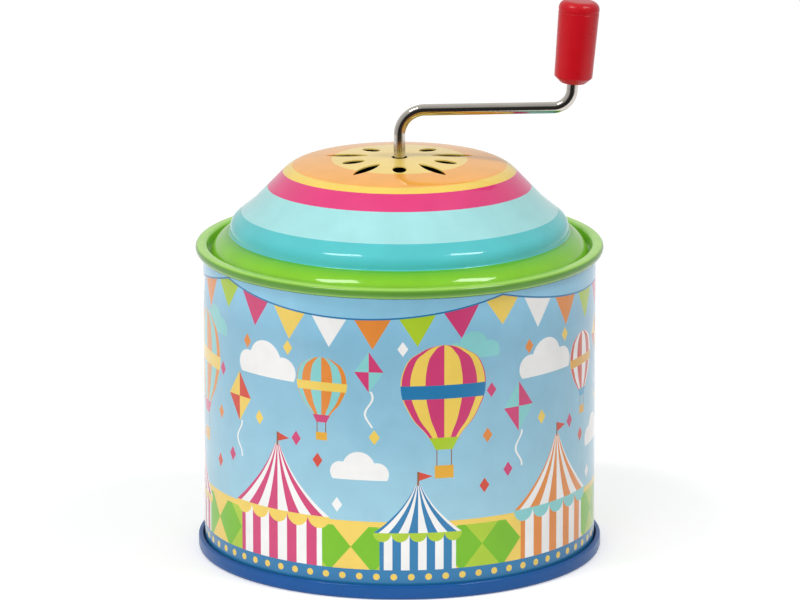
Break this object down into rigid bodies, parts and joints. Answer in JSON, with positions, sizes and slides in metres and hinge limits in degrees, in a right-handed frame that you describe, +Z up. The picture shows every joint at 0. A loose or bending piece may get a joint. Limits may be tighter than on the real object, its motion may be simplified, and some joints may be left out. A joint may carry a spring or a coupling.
{
  "type": "hand-cranked music box",
  "caption": "Round tin music box with a domed, slotted lid and a bent wire crank on top that turns a pinned-cylinder movement inside.",
  "frame": {"origin": "on the tin's axis, on the surface that it stands on", "axes": "+Z up along the tin's axis, +X along the crank arm at rest, -Y towards the front of the print"},
  "size_m": [0.0758, 0.0758, 0.1041],
  "materials": {
    "body_print": "gloss litho print on tinplate",
    "lid_print": "gloss litho print on tinplate",
    "base_lacquer": "gloss lacquer on tinplate",
    "plated_wire": "bright nickel plate",
    "knob_plastic": "gloss moulded",
    "brass": "turned",
    "steel": "bright zinc plate",
    "comb_steel": "ground and tempered",
    "black_steel": "blackened",
    "zinc_casting": "matt die casting",
    "acetal": "moulded"
  },
  "bodies": {
    "housing": {"can_body": "body_print", "lid": "lid_print", "base": "base_lacquer", "hanger_bracket": "black_steel", "hanger_screw_1": "steel", "hanger_screw_2": "steel", "bedplate": "zinc_casting", "comb": "comb_steel", "comb_screw_1": "steel", "comb_screw_2": "steel", "cylinder_bearing": "steel", "bearing_screw_1": "steel", "bearing_screw_2": "steel"},
    "crank": {"crank_rod": "plated_wire", "worm_shaft": "brass", "thrust_washer": "steel", "shaft_clip": "black_steel"},
    "knob": {"crank_knob": "knob_plastic"},
    "cylinder": {"pinned_cylinder": "brass", "worm_wheel": "acetal", "cylinder_end_plug": "acetal", "cylinder_arbor": "steel"}
  },
  "joints": [
    {"name": "crank_turn", "type": "hinge", "parent": "housing", "child": "crank", "pos_m": [0, 0, 0.0744], "axis": [0, 0, 1], "continuous": true},
    {"name": "knob_spin", "type": "hinge", "parent": "crank", "child": "knob", "pos_m": [0.03199, 0, 0.0885], "axis": [0.0785, 0, 0.9969], "continuous": true},
    {"name": "cylinder_turn", "type": "hinge", "parent": "housing", "child": "cylinder", "pos_m": [0.012, 0.0102, 0.044], "axis": [1, 0, 0], "continuous": true}
  ],
  "couplings": [
    {"joint": "cylinder_turn", "follows": "crank_turn", "ratio": 0.055556}
  ]
}
